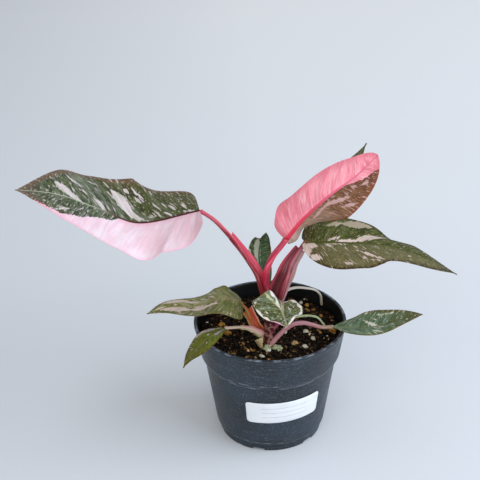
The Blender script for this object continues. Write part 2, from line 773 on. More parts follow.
@dataclass(frozen=True)
class Blade:
    """A leaf blade: a thin sheet with a midrib, side veins and a rounded margin.

    Angles are given at base, middle and tip, for the left half first, in degrees.
    """

    name: str
    slot: str
    finish: BladeFinish
    rib: tuple[Three, ...]  # the midrib from the petiole to the tip
    facing: tuple[Three, Three]  # the way the upper side looks at the base and at the tip
    half_width: Pair
    lobe: float  # how far the base reaches back, as a share of the rib
    widest: float
    roundness: float
    drip: float  # how the tip is drawn out
    lift: tuple[Three, Three]  # how far each half rises from the rib
    bend: tuple[Three, Three]  # and how far it bends further out to the margin
    waves: Rows = ()  # a swelling each: half, place on the margin, spread and height
    streaks: Rows = ()  # pale streaks, one row of Streak's values each
    rosy: Rows = ()  # the same in pink
    pink_side: int = 0  # the half with a pink sector, 0 for none
    pink_border: Rows = ()  # along, across
    notch: float = 0.1
    veins: int = 9  # side veins on each half
    rib_width: float = 1.15  # half width of the midrib at its foot
    rib_taper: float = 0.68  # share of its width that it loses on the way to the tip
    rib_ridge: float = 0.75  # how far the midrib stands out below, at its foot
    rib_groove: float = 0.3  # and how deep it lies above
    rib_fade: float = 0.7  # share of both that is lost on the way to the tip
    vein_groove: float = 0.13
    vein_width: float = 0.1  # as a share of the gap between two side veins
    vein_start: float = 0.05  # place on the margin that the first side vein runs to
    vein_span: float = 0.9  # and how far on the last one ends
    quilt: float = 0.16  # swelling between the side veins
    rim: float = 0.14  # how far the margin's rounding stands out
    half_thickness: Pair = (0.28, 0.15)  # in the middle and at the margin
    base_share: float = 0.4  # share of the margin that runs round the base
    tip_curve: float = 1.8  # how long the margin keeps its width on the way to the tip
    vein_sweep: float = 1.6  # how far the side veins lean towards the tip
    tip_half_width: float = 0.5
    row_density: Three = (1.55, 60, 200)  # rows a millimetre of midrib, with the fewest and the most
    column_density: Three = (0.8, 14, 28)  # columns a millimetre of half width, likewise
    crowding: float = 1.35  # how the columns crowd towards the midrib

    @cached_property
    def rail(self) -> Rail:
        """The midrib's line."""
        return Rail(self.rib, self.facing)

    def margin(self, u: Array) -> tuple[Array, Array]:
        """The margin's place.

        Args:
            u: Place on the margin from the base to the tip.

        Returns:
            Shares of the rib's length and of the half width.
        """
        turn = np.clip(u / self.base_share, 0, 1) * math.pi / 2
        out = np.clip((u - self.base_share) / (1 - self.base_share), 0, 0.9999)
        along = np.where(u < self.base_share, self.widest - (self.widest + self.lobe) * np.cos(turn),
                         self.widest + (1 - self.widest) * out)
        width = np.where(u < self.base_share, self.notch + (1 - self.notch) * np.sin(turn) ** self.roundness,
                         (1 - out**self.tip_curve) ** self.drip)
        return along, width

    def sheet(self, u: Array, side: Array, v: Array) -> tuple[Array, Array, Array, Array, Array]:
        """The blade's middle surface.

        Args:
            u: Place on the margin from the base to the tip.
            side: LEFT or RIGHT.
            v: Place along a side vein, from the midrib to the margin.

        Returns:
            Points, normals, flat places along and across, and the way left to the margin.
        """
        along, width = self.margin(u)
        foot = np.maximum(along, 0) ** self.vein_sweep
        share = foot + (along - foot) * v
        t = np.clip(share, 0, 1)
        left = side == LEFT
        half = np.where(left, *self.half_width)
        full = np.maximum(width * half, self.tip_half_width)
        out = full * v
        lift, bend = (np.radians(np.where(left, *(through_three(way, t) for way in ways)))
                      for ways in (self.lift, self.bend))
        bend = np.where(np.abs(bend) < 1e-6, 1e-6, bend) / half
        angle = lift + bend * out
        centre, _, up, across = self.rail.frame(share)
        sided = across * side[:, None]
        normal = up * np.cos(angle)[:, None] - sided * np.sin(angle)[:, None]
        point = (centre + sided * ((np.sin(angle) - np.sin(lift)) / bend)[:, None]
                 + up * ((np.cos(lift) - np.cos(angle)) / bend)[:, None])
        for half_side, place, spread, height in self.waves:
            swell = height * bump(u - place, spread) * v**1.6
            point = point + normal * np.where(side == half_side, swell, 0)[:, None]
        return (point, np.where((v == 0)[:, None], up, normal), share * self.rail.length, side * out,
                full - out)

    @staticmethod
    def streak_field(rows: Rows, along: Array, across: Array) -> tuple[Array, Array]:
        """How far inside a streak each place lies.

        Args:
            rows: The streaks.
            along: Places along the midrib.
            across: Places across from it.

        Returns:
            Depths in millimetres, less than 0 outside, and the nearest streak's share of beige.
        """
        depth, beige = np.full(along.shape, -6.0), np.zeros(along.shape)
        for streak in (Streak(*row) for row in rows):
            inside = streak.depth(along, across)
            beige = np.where(inside > depth, streak.beige, beige)
            depth = np.maximum(depth, inside)
        return depth, beige

    def pink_field(self, along: Array, across: Array) -> Array:
        """How far inside the pink sector or a pink streak places lie.

        Args:
            along: Places along the midrib.
            across: Places across from it.

        Returns:
            Depths in millimetres, less than 0 outside.
        """
        depth, _ = self.streak_field(self.rosy, along, across)
        if not self.pink_side:
            return depth
        sector = self.pink_side * (across - np.interp(along, *zip(*self.pink_border)))
        return np.maximum(depth, np.clip(sector, -9, 9))

    def build(self) -> None:
        """Makes the blade: an upper and a lower sheet that a rounded rim joins."""
        length = self.rail.length
        rows = clipped(length, self.row_density) + 1
        halves = clipped(max(self.half_width), self.column_density)
        steps = (np.arange(halves + 1) / halves) ** self.crowding
        columns = 2 * halves + 1
        u = np.repeat(np.linspace(0, 1, rows), columns)
        v = np.tile(np.r_[steps[::-1], steps[1:]], rows)
        side = np.tile(np.r_[np.full(halves + 1, LEFT), np.full(halves, RIGHT)], rows)
        point, normal, along, across, way_left = self.sheet(u, side, v)
        along_share = np.clip(along / length, 0, 1)
        rib = bump(across, self.rib_width * (1 - self.rib_taper * along_share))
        phase = (u - self.vein_start) / self.vein_span * self.veins
        off_vein = np.abs(phase - np.round(phase))
        reach = (1 - v**4) * smooth_step(0.0, 0.06, u) * smooth_step(1.0, 0.93, u)
        vein = bump(off_vein, self.vein_width) * reach
        swell = self.quilt * np.sin(math.pi * off_vein) ** 2 * reach * smooth_step(0, 0.2, v)
        middle = point + normal * swell[:, None]
        thick, thin = self.half_thickness
        half = thick - (thick - thin) * smooth_step(0.5, 1, v)
        shallow = rib * (1 - self.rib_fade * along_share)
        above = half - self.rib_groove * shallow - self.vein_groove * vein
        below = half + self.rib_ridge * shallow + self.vein_groove * vein
        count = rows * columns
        quads, loop = sheet_faces(np.arange(count).reshape(rows, columns))
        ahead, behind = np.roll(loop, -1), np.roll(loop, 1)
        outwards = unit(np.cross(unit(middle[ahead] - middle[behind]), normal[loop]))
        rim_at = 2 * count + np.arange(len(loop))
        rim_next = np.roll(rim_at, -1)
        points = np.vstack([middle + normal * above[:, None], middle - normal * below[:, None],
                            middle[loop] + outwards * self.rim])
        faces = np.vstack([quads, quads[:, ::-1] + count, np.stack([loop, rim_at, rim_next, ahead], -1),
                           np.stack([rim_at, loop + count, ahead + count, rim_next], -1)])
        under = np.r_[np.zeros(count), np.ones(count), np.full(len(loop), 0.5)]
        pale, beige = self.streak_field(self.streaks, along, across)
        order = np.r_[np.arange(count), np.arange(count), loop]
        flat = np.stack([u * 0.49, 0.5 + 0.5 * side * v], -1)[order] + np.outer(under == 1, (0.5, 0))
        fields = {
            "vein_place": (u * length, side * v * max(self.half_width), 0 * u),
            "marks": (pale, self.pink_field(along, across), way_left),
            "relief": (vein, rib, 0 * u),
            "tone": (beige, along, across)}
        attributes = {key: np.stack(values, -1)[order] for key, values in fields.items()}
        attributes["vein_place"][:, 2] = under * 3
        attributes["relief"][:, 2] = under
        name = self.name + "_skin"
        piece = make_piece(name, points, faces, self.finish.material(name), 120, flat, **attributes)
        seat(piece, self.slot, self.name)


# ---- The petioles ----

Part = tuple[Body, Array, Array]  # points with faces, and the section and grain attributes


@dataclass(frozen=True)
class Sheath:
    """The winged channel at a petiole's foot, with its section at foot, middle and top."""

    to: float  # share of the path where it ends
    radii: Three
    opening: Three  # half opening angle in degrees
    ear: float = 0.0  # how far its two ears reach on


@dataclass(frozen=True)
class Petiole:
    """A leaf stalk: a rod that grows out of a thin winged sheath."""

    name: str
    slot: str
    finish: PetioleFinish
    path: tuple[Three, ...]
    facing: tuple[Three, Three]
    start: float = 0.0  # share of the path where the rod begins
    radii: Pair = (0.0, 0.0)  # of the rod, at its start and end
    flat: float = 1.0
    sheath: Sheath | None = None
    wall: float = 0.9
    wing_edge: float = 0.3  # thickness left at the wings' edges
    ruffle: Pair = (0.25, 21)  # height of the ripples in the wings, and how fast they follow each other
    groove: Pair = (0.14, 0.45)  # depth of the rod's groove as a share of its radius, and width in radians
    collar: float = 0.25  # how far the rod swells under the blade
    reach: float = 1.2  # how far the rod runs on into the blade's midrib
    rod_rows: Three = (1 / 1.2, 16, 60)  # rows a millimetre, with the fewest and the most
    wing_rows: Three = (1, 14, 60)  # and those of the sheath
    rod_sides: int = 20
    arc_steps: int = 22

    @cached_property
    def rail(self) -> Rail:
        """The line through the middle."""
        return Rail(self.path, self.facing)

    def rod(self) -> Part:
        """The round stalk.

        Returns:
            Its points, faces and attributes.
        """
        length = self.rail.length
        rows = clipped(length, self.rod_rows)
        shares = np.linspace(self.start, 1 + self.reach / length, rows)
        t = np.clip((shares - self.start) / (1 - self.start), 0, 1)
        radius = self.radii[0] + (self.radii[1] - self.radii[0]) * t
        sink = np.zeros(rows)
        if self.sheath:
            emerge = smooth_step(0, 0.35, t)
            radius = radius * (0.35 + 0.65 * emerge)
            sink = (1 - emerge) * radius * 0.8
        past = np.clip((shares - 1) * length / self.reach, 0, 1)
        radius = (radius + self.collar * smooth_step(0.93, 1, t)) * (1 - 0.6 * past**2)
        turn = ring(self.rod_sides)
        depth, width = self.groove
        groove = 1 - depth * bump(turn - math.pi / 2, width)
        body = self.rail.tube(shares, radius[:, None] * np.cos(turn) * groove,
                              radius[:, None] * self.flat * np.sin(turn) * groove - sink[:, None])
        share = np.repeat(shares, self.rod_sides)
        across, up = np.tile(np.cos(turn), rows), np.tile(np.sin(turn), rows)
        section = np.stack([0.5 + 0.5 * across, share, 0 * share], -1)
        return body, section, np.stack([across * 3, share * length, up * 3], -1)

    def wings(self) -> Part:
        """The winged sheath.

        Returns:
            Its points, faces and attributes.
        """
        sheath = self.sheath
        rows = clipped(self.rail.length * sheath.to, self.wing_rows)
        shares = np.linspace(0, sheath.to, rows)
        t = (shares / sheath.to)[:, None]
        radius, half = through_three(sheath.radii, t), np.radians(through_three(sheath.opening, t))
        depth = radius * (1 - np.cos(half)) / 2
        arc = np.linspace(-1, 1, self.arc_steps)
        wall = self.wall - (self.wall - self.wing_edge) * np.abs(arc) ** 1.5
        wall = wall * (1 - 0.55 * smooth_step(0.85, 1, t))
        ruffle = self.ruffle[0] * np.sin(t * self.ruffle[1]) * np.abs(arc) ** 3
        outer, hollow = radius + ruffle, radius - wall + ruffle
        reach = sheath.ear * t**8 * arc**4

        def there_and_back(out: Array, back: Array) -> Array:
            """One ring: the outer wall one way round and the inner wall back."""
            return np.hstack([out, back[:, ::-1]])

        angles = half * arc
        across = there_and_back(outer * np.sin(angles), hollow * np.sin(angles))
        level = radius - depth
        up = there_and_back(level - outer * np.cos(angles), level - hollow * np.cos(angles))
        body = self.rail.tube(shares, across, up, there_and_back(reach, reach))
        turn = np.tile(np.r_[arc, arc[::-1]] * 0.5 + 0.5, rows)
        share = np.repeat(shares, 2 * self.arc_steps)
        inner = np.tile(np.repeat([0.0, 1.0], self.arc_steps), rows)
        section = np.stack([turn, share, inner], -1)
        return body, section, np.stack([turn * 14, share * self.rail.length, inner * 5], -1)

    def build(self) -> None:
        """Makes the petiole from its wings and its rod."""
        parts = [self.wings()] if self.sheath else []
        if self.radii[0]:
            parts.append(self.rod())
        bodies, sections, grains = zip(*parts)
        points, faces = [], []
        for body, body_faces in bodies:
            faces += [[i + len(points) for i in face] for face in body_faces]
            points += body.tolist()
        section = np.vstack(sections)
        name = self.name + "_skin"
        piece = make_piece(name, np.array(points), faces, self.finish.material(name), 60,
                           np.clip(section[:, :2], 0, 1), section=section, grain_place=np.vstack(grains))
        seat(piece, self.slot, self.name)


@dataclass(frozen=True)
class Stem:
    """The short stem between the soil and the crown, swollen and scarred at its leaf nodes."""

    finish: CrumbFinish = CrumbFinish(("#4E2028", "#7A4048", "#2A1014", "#8E6A5A"), 0.6, 2.8, 0.6, 0.15)
    path: tuple[Three, ...] = ((-2, -20, 71), (-1.9, -19.5, 80), (-0.6, -16.5, 87), (-0.4, -13, 97),
                               (-0.7, -11.2, 108))
    radii: tuple[float, ...] = (3.0, 3.3, 4.2, 4.0, 3.3)
    swell: float = 0.35
    scar: Pair = (0.05, 0.05)  # height as a share of the radius, and width as a share of a node's length
    wrinkle: float = 0.12
    nodes: int = 5
    sides: int = 36
    rows: int = 90

    def build(self) -> None:
        """Makes the stem."""
        shares = np.linspace(0, 1, self.rows)
        wave = shares * self.nodes
        radius = (np.interp(shares, np.linspace(0, 1, len(self.radii)), self.radii)
                  + self.swell * np.cos(wave * 2 * math.pi))
        height, width = self.scar
        scar = height * bump(wave - np.round(wave), width)
        turn = ring(self.sides)
        full = ((radius * (1 + scar))[:, None]
                + self.wrinkle * np.sin(turn * 5 + 2) * np.sin(shares * 40)[:, None])
        body = Rail(self.path, ((0, -1, 0),) * 2).tube(shares, full * np.cos(turn), full * np.sin(turn))
        seat(make_piece("stem_skin", *body, self.finish.material("scarred_stem")), "stem_bark", "stem")


# ---- The pot, its label and the soil ----


@dataclass(frozen=True)
class Pot:
    """The round nursery pot: a thin shell with a rolled rim, a collar and notches in its foot."""

    finish: MouldedPlastic = MouldedPlastic()
    profile: tuple[Pair, ...] = (  # radius and height, from the underside round to the inner floor
        (0, 0), (37.6, 0), (38.3, 6.2), (40, 8), (48.2, 62), (50.8, 65.4), (54.4, 86.8), (55, 87.6),
        (55, 89.9), (54.2, 90), (53, 90), (52.5, 89.2), (49.2, 65.5), (46.6, 62), (38.4, 8), (35.5, 2.4),
        (0, 2.4))
    middle: float = 30.0  # radius of the circle that the profile is swept round
    sides: int = 168
    rounding: float = 0.9
    notches: int = 6
    notch_size: Three = (14.0, 9.0, 6.5)
    notch_radius: float = 40.5
    notch_slope: float = 35.0
    notch_turn: float = 15.0
    weld: float = 0.01  # points nearer than this become one
    crease: float = 38.0  # edges that turn more than this stay sharp, in degrees

    def build(self) -> None:
        """Makes the pot: the profile is swept round, then the notches are cut."""
        line = softened(self.profile, self.rounding)[::-1]
        mesh = bpy.data.meshes.new("pot_profile")
        mesh.from_pydata([((r - self.middle) * MM, -z * MM, 0) for r, z in line],
                         [(i, i + 1) for i in range(len(line) - 1)], [])
        tool = GeometryTool("turned_pot", Sides=self.sides, Middle=self.middle * MM, Notches=self.notches,
                            NotchRadius=self.notch_radius * MM, NotchTurn=math.radians(self.notch_turn),
                            NotchSlope=math.radians(-self.notch_slope))
        path = tool.add("GeometryNodeCurvePrimitiveCircle", {
            "Resolution": tool.size("Sides"), "Radius": tool.size("Middle")})
        swept = tool.add("GeometryNodeCurveToMesh", path, tool.add("GeometryNodeMeshToCurve", tool.given))
        shell = tool.add("GeometryNodeMergeByDistance", swept, {"Distance": self.weld * MM})
        around = tool.add("GeometryNodeMeshCircle", tool.size("Notches"), tool.size("NotchRadius"))
        step = tool.add(MATH, 2 * math.pi, tool.size("Notches"), operation="DIVIDE")
        turn = tool.add(MATH, tool.add("GeometryNodeInputIndex"), step, operation="MULTIPLY")
        turned = tool.add("ShaderNodeCombineXYZ", 0.0, tool.size("NotchSlope"), turn)
        cutter = tool.add("GeometryNodeMeshCube", tuple(s * MM for s in self.notch_size))
        placed = tool.add("GeometryNodeInstanceOnPoints", around, {"Instance": cutter, "Rotation": turned})
        whole = tool.add("ShaderNodeCombineXYZ", 0.0, 0.0, tool.size("NotchTurn"))
        cutters = tool.add("GeometryNodeTransform", placed, {"Rotation": whole})
        cut = tool.add("GeometryNodeMeshBoolean", shell, tool.add("GeometryNodeRealizeInstances", cutters),
                       operation="DIFFERENCE")
        piece = tool.run(cut, linked("pot_profile", mesh), self.finish.material("moulded_polypropylene"),
                         "pot_shell")
        self.drop_slivers(piece.data)
        piece.data.shade_smooth()
        piece.data.set_sharp_from_angle(angle=math.radians(self.crease))
        seat(piece, "pot_plastic", "pot")

    @staticmethod
    def drop_slivers(mesh: bpy.types.Mesh) -> None:
        """Removes the small leftovers that a notch cuts free from the foot's edge.

        Args:
            mesh: The pot's mesh.
        """
        shell = bmesh.new()
        shell.from_mesh(mesh)
        left, bodies = set(shell.verts), []
        while left:
            body, edge = set(), [left.pop()]
            while edge:
                vertex = edge.pop()
                body.add(vertex)
                fresh = {link.other_vert(vertex) for link in vertex.link_edges} & left
                left -= fresh
                edge += fresh
            bodies.append(body)
        slivers = sorted(bodies, key=len)[:-1]
        bmesh.ops.delete(shell, geom=[vertex for body in slivers for vertex in body], context="VERTS")
        shell.to_mesh(mesh)
        shell.free()


@dataclass(frozen=True)
class Label:
    """The paper label, bent round the pot's body and a little askew."""

    finish: LabelPaper = LabelPaper()
    start: float = -24.0  # degrees round the pot, 0 at its front
    end: float = 46.0
    middle: float = 39.2
    height: float = 19.0
    rise: float = 1.8
    corner: float = 2.6
    rounding: Pair = (0.1, 0.4)  # thickness at the edge, and what it gains inside
    soft_edge: float = 1.0  # width of the rounded edge
    pivot: float = 0.4  # share of its length that the rise turns round
    clearance: float = 0.35
    body: tuple[Pair, Pair] = ((40, 8), (48.2, 62))  # the pot's radius and height there
    columns: int = 96
    rows: int = 14

    def build(self) -> None:
        """Makes the label."""
        (low_radius, low), (high_radius, high) = self.body
        slope = (high_radius - low_radius) / (high - low)
        eased = (1 - np.cos(math.pi * np.linspace(0, 1, self.columns + 1))) / 2
        width = math.radians(self.end - self.start) * (low_radius + slope * (self.middle - low))
        inset = np.minimum(eased, 1 - eased) * width
        rest = self.corner - np.minimum(inset, self.corner)
        half = self.height / 2 - self.corner + np.sqrt(np.maximum(self.corner**2 - rest**2, 0))
        turn = np.radians(self.start + (self.end - self.start) * eased)[:, None]
        up = np.linspace(-1, 1, self.rows + 1)
        height = (self.middle + self.rise * (eased - self.pivot))[:, None] + half[:, None] * up
        edge = np.outer(np.minimum(inset, self.soft_edge),
                        np.minimum((1 - np.abs(up)) * self.height / 2, self.soft_edge))
        sheets = []
        for out in (self.rounding[0] + self.rounding[1] * smooth_step(0, 0.5, edge), 0):
            radius = low_radius + slope * (height - low) + self.clearance + out
            sheet = np.stack([np.sin(turn) * radius, -np.cos(turn) * radius, height], -1)
            sheets.append(sheet.reshape(-1, 3))
        count = height.size
        quads, loop = sheet_faces(np.arange(count).reshape(height.shape).T)
        ahead = np.roll(loop, -1)
        faces = np.vstack([quads, quads[:, ::-1] + count,
                           np.stack([loop, loop + count, ahead + count, ahead], -1)])
        flat = np.stack([np.repeat(eased, self.rows + 1), np.tile(up * 0.5 + 0.5, self.columns + 1)], -1)
        piece = make_piece("label_sheet", np.vstack(sheets), faces, self.finish.material("label_paper"), 45,
                           np.vstack([flat, flat]))
        seat(piece, "label_paper", "label")


class Grain(Enum):
    """Kinds of loose crumbs in the potting mix, with their tones."""

    MIX = CrumbFinish(("#050302", "#0D0805", "#020101", "#36281A"), 0.5, 1.6)
    BARK = CrumbFinish(("#22150C", "#6B4828", "#140C06", "#A07A44"), 0.6, 3.0)
    PERLITE = CrumbFinish(("#E6E2CE", "#F2F0E4", "#CFC9AE"), 0.4, 2.0, 0.9, 0.2)
    CLAY = CrumbFinish(("#B98A3E", "#C9A050", "#8C6428"), 0.5, 2.0)
    MOSS_BALL = CrumbFinish(("#A8B08A", "#C3C8A0", "#7E8A5C"), 0.4, 1.2)
    HUSK = CrumbFinish(("#C9A878", "#D8BE92", "#A5824F"), 0.4, 2.0)


@dataclass(frozen=True)
class Strewn:
    """One kind of crumb strewn over the soil."""

    grain: Grain
    count: int
    smallest: float
    largest: float
    flatness: float
    seed: int


@dataclass(frozen=True)
class Soil:
    """The potting mix: its body, the crumbs strewn on it and the larger lumps, each in its own place."""

    slot: str = "potting_mix"
    level: float = 79.0
    edge: float = 50.27
    walls: tuple[Pair, ...] = ((46.25, 62.0), (38.05, 8.0), (35.3, 3.0))  # radius, height
    roughness: float = 1.1
    rings: int = 70
    sides: int = 170
    clod: float = 3.2  # size of the lumps in the surface
    models: int = 5  # different crumbs of each kind
    lump_flatness: float = 0.75
    lump_rise: float = 0.3  # how far a lump's middle lies over the surface, as a share of its radius
    dents: Rows = ((0.45, 1.3), (0.25, 3.1))  # depth and fineness of the dents in a crumb
    strewn: tuple[Strewn, ...] = (
        Strewn(Grain.MIX, 5200, 0.5, 1.5, 0.7, 3),
        Strewn(Grain.BARK, 300, 0.7, 2.0, 0.45, 5),
        Strewn(Grain.PERLITE, 34, 0.4, 0.9, 0.8, 8),
        Strewn(Grain.HUSK, 70, 0.4, 1.1, 0.3, 13),
        Strewn(Grain.CLAY, 60, 0.35, 0.9, 0.6, 21),
    )
    lumps: tuple[tuple[Grain, Rows], ...] = (  # x, y and radius of each
        (Grain.BARK, ((-21.2, -19.1, 1.5), (12.4, -32.8, 1.9), (-29, -27.7, 1.8))),
        (Grain.PERLITE, (
            (-2, -25.4, 2.1), (10.8, -3.1, 1.9), (26, -2.3, 1.9), (28.8, -5, 1.6), (30.5, -11.7, 1.9),
            (24.2, -21.8, 2.1), (-6.6, -33.5, 1.7), (27.8, 42.1, 1.5), (24.5, 37.9, 1.6))),
        (Grain.CLAY, ((28.8, 33.4, 2.0), (-34.9, 9.1, 2.2), (-30.5, -1.8, 2.8), (36.1, -3.9, 1.6),
                      (45.6, -1.6, 2.6))),
        (Grain.MOSS_BALL, ((4.3, -23.4, 3.0), (-2.8, -22.8, 2.9))),
        (Grain.HUSK, ((-16.3, -25.6, 1.4), (17.4, -16.4, 2.2))),
    )

    def surface(self, x: Array, y: Array) -> Array:
        """The height of the surface, as in the frame.

        Args:
            x: Places to the right.
            y: Places to the back.

        Returns:
            The heights.
        """
        waves = (np.sin(x * 0.31 + 1.3) * np.cos(y * 0.27) + 0.6 * np.sin(x * 0.53 - y * 0.47)
                 + 0.4 * np.cos(x * 0.9 + y * 1.1))
        return self.level + self.roughness * waves / 2

    def ground(self) -> Body:
        """The body: a crumbly top and plain walls.

        Returns:
            Its points and faces.
        """
        turn = ring(self.sides)
        share = np.linspace(0, 1, self.rings + 1)[1:]
        x, y = (np.outer(share * self.edge, way(turn)).ravel() for way in (np.cos, np.sin))
        height = self.surface(x, y)
        for i, place in enumerate(zip(x, y)):
            height[i] += noise.fractal(Vector((*place, 3)) / self.clod, 0.6, 2.1, 4)
        points = [[(0, 0, self.level)], np.stack([x, y, height], -1)]
        for radius, low in self.walls:
            points.append(np.stack([radius * np.cos(turn), radius * np.sin(turn), 0 * turn + low], -1))
        points.append([(0, 0, self.walls[-1][1])])
        last = (self.rings + len(self.walls) - 1) * self.sides
        faces = []
        for i in range(self.sides):
            a, b = 1 + i, 1 + (i + 1) % self.sides
            faces.append([0, a, b])
            faces += [[a + row, a + row + self.sides, b + row + self.sides, b + row]
                      for row in range(0, last, self.sides)]
            faces.append([a + last, 1 + last + self.sides, b + last])
        return np.vstack(points), faces

    def crumb(self, radius: float, flatness: float, draw: random.Random,
              detail: int) -> tuple[Array, Array]:
        """One broken grain round the origin.

        Args:
            radius: Its mean radius.
            flatness: Its height as a share of its width.
            draw: Random numbers.
            detail: 1 for 20 faces, 2 for 80 and 3 for 320.

        Returns:
            Points and faces.
        """
        ball = bmesh.new()
        bmesh.ops.create_icosphere(ball, subdivisions=detail, radius=1.0)
        points = np.array([v.co for v in ball.verts])
        faces = np.array([[v.index for v in f.verts] for f in ball.faces])
        ball.free()
        shift = Vector([draw.random() * 50 for _ in range(3)])
        for i, point in enumerate(points):
            points[i] = point * (1 + sum(depth * noise.noise(Vector(point) * fineness + shift)
                                         for depth, fineness in self.dents))
        stretch = np.array([0.75 + 0.6 * draw.random(), 0.75 + 0.4 * draw.random(), flatness])
        return points * stretch * radius, faces

    def strew(self, kind: Strewn, top: Thing) -> None:
        """Strews one kind of crumb over the soil.

        Args:
            kind: The crumbs.
            top: The surface that they lie on. It is removed.
        """
        draw = random.Random(kind.seed)
        name = kind.grain.name.lower()
        area = math.pi * (self.edge * MM) ** 2
        tool = GeometryTool("strewn_" + name, Density=kind.count / area, Seed=kind.seed,
                            Smallest=kind.smallest, Largest=kind.largest)
        seed = {"Seed": tool.size("Seed")}
        spread = tool.add("GeometryNodeDistributePointsOnFaces", tool.given, {
            "Density": tool.size("Density"), **seed})
        models = tool.add("GeometryNodeJoinGeometry")
        shapes = []
        for number in range(self.models):
            mesh = make_mesh(f"{name}_{number}",
                             *self.crumb(1.0, kind.flatness, draw, 1 if kind.count > 1000 else 2))
            shapes.append(bpy.data.objects.new(mesh.name, mesh))
        for shape in shapes[::-1]:
            info = tool.add("GeometryNodeObjectInfo", shape, True)
            tool.tree.links.new(info.outputs["Geometry"], models.inputs[0])
        lay = tool.add("FunctionNodeRandomValue", {0: (-0.5, -0.5, 0.0), 1: (0.5, 0.5, 6.283), **seed},
                       data_type="FLOAT_VECTOR")
        sizes = {2: tool.size("Smallest"), 3: tool.size("Largest"), **seed}
        size = tool.add("FunctionNodeRandomValue", sizes, data_type="FLOAT")
        placed = tool.add("GeometryNodeInstanceOnPoints", spread, {
            "Instance": models, "Pick Instance": True, "Rotation": lay, "Scale": size.outputs[1]})
        piece = tool.run(placed, top, kind.grain.value.material(name + "_crumbs"), "soil_" + name)
        for shape in shapes:
            bpy.data.objects.remove(shape)
        seat(piece, self.slot, "soil")

    def lay_lumps(self, grain: Grain, places: Rows) -> None:
        """Lays the larger lumps of one kind, each half sunk in the surface.

        Args:
            grain: The kind.
            places: Where they lie, with their radii.
        """
        draw = random.Random(40 + len(grain.name))
        points, faces = [], []
        for x, y, radius in places:
            shape, sides = self.crumb(radius, self.lump_flatness, draw, 3)
            turn = np.array(Matrix.Rotation(draw.random() * math.pi, 3, "Z"))
            faces.append(sides + len(shape) * len(points))
            points.append(shape @ turn.T + (x, y, float(self.surface(x, y)) + radius * self.lump_rise))
        name = f"lumps_{grain.name.lower()}"
        piece = make_piece(name, np.vstack(points), np.vstack(faces), grain.value.material(name))
        seat(piece, self.slot, "soil")

    def build(self) -> None:
        """Makes the body, the strewn crumbs and the lumps."""
        points, faces = self.ground()
        body = make_piece("soil_body", points, faces, Grain.MIX.value.material("potting_mix"), 80)
        seat(body, self.slot, "soil")
        top_faces = [f for f in faces if max(f) < 1 + (self.rings - 1) * self.sides]
        for kind in self.strewn:
            self.strew(kind, linked("soil_top", make_mesh("soil_top", points, top_faces)))
        for grain, places in self.lumps:
            self.lay_lumps(grain, places)


# ---- The studio ----


@dataclass(frozen=True)
class Studio:
    """A pale floor, soft light and the camera."""

    tilt: float = 28.5  # how far the camera looks down, in degrees
    roll: float = -1.0
    target: Three = (-20.6, 0.0, 155.0)
    distance: float = 835.0
    lens: float = 90.0
    sensor: float = 36.0
    nearest: float = 0.01  # metres
    aim: Three = (0, 0, 0.1)  # where the lights look, in metres
    floor: str = "#E0E5EA"
    floor_size: float = 8000.0
    sky: str = "#E2E6EA"
    sky_strength: float = 0.66
    lights: tuple[tuple[str, Three, float, float, str], ...] = (  # name, place, side, power and colour
        ("window", (1.32, -0.42, 0.86), 1.8, 25.6, "#E8F1FF"),
        ("room", (-0.3, -1.5, 0.9), 1.6, 12.5, "#FFFAF5"),
    )

    def camera(self) -> None:
        """Places the camera."""
        tilt, roll = math.radians(self.tilt), math.radians(self.roll)
        forward = Vector((0, math.cos(tilt), -math.sin(tilt)))
        up, side = Vector((0, math.sin(tilt), math.cos(tilt))), Vector((1, 0, 0))
        x_axis = side * math.cos(roll) + up * math.sin(roll)
        y_axis = up * math.cos(roll) - side * math.sin(roll)
        turned = Matrix((x_axis, y_axis, -forward)).transposed().to_4x4()
        place = (Vector(self.target) - forward * self.distance) * MM
        lens = bpy.data.cameras.new("camera")
        lens.lens = self.lens
        lens.sensor_width = self.sensor
        lens.clip_start = self.nearest
        camera = linked("camera", lens)
        camera.matrix_world = Matrix.Translation(place) @ turned
        bpy.context.scene.camera = camera

    def light(self, name: str, place: Three, size: float, power: float, shade: str) -> None:
        """Hangs a soft square light that looks at the plant.

        Args:
            name: Its name.
            place: Where it hangs, in metres.
            size: Its side, in metres.
            power: Its power in watts.
            shade: Its colour.
        """
        lamp = bpy.data.lights.new(name, "AREA")
        lamp.size = size
        lamp.energy = power
        lamp.color = linear(shade)[:3]
        holder = linked(name, lamp)
        holder.location = place
        holder.rotation_euler = (Vector(self.aim) - Vector(place)).to_track_quat("-Z", "Y").to_euler()

    def backdrop(self) -> Material:
        """The floor's material: matt, faintly clouded, paler far away and dimmer to the left.

        Returns:
            The material.
        """
        r = Recipe("matt_backdrop")
        place = r.millimetres()
        across, away, _ = r.add(SPLIT, place).outputs
        colour = r.paint(self.floor, [
            (r.spots(place, 180, 0.3, 0.7, seed=2, strength=0.12), "#CDD4DB"),
            (r.add(RANGE, away, 100.0, 1000.0), "#FBFCFE"),
            (r.add(RANGE, across, 0.0, -420.0, 0.0, 0.4), "#B8BDC6")])
        grain = r.spots(place, 1.5, 0.3, 0.7)
        return r.finish(colour, (0.8, 0.8), grain, grain, 0.02)

    def build(self) -> None:
        """Sets up the floor, the light and the camera."""
        corners = np.array([(-1, -1, 0), (1, -1, 0), (1, 1, 0), (-1, 1, 0)]) * self.floor_size / 2
        make_piece("backdrop", corners, [range(4)], self.backdrop())
        world = bpy.data.worlds.new("soft_sky")
        world.use_nodes = True
        sky = world.node_tree.nodes["Background"]
        sky.inputs["Color"].default_value = linear(self.sky)
        sky.inputs["Strength"].default_value = self.sky_strength
        bpy.context.scene.world = world
        for light in self.lights:
            self.light(*light)
        bpy.context.scene.view_settings.view_transform = "Standard"
        self.camera()


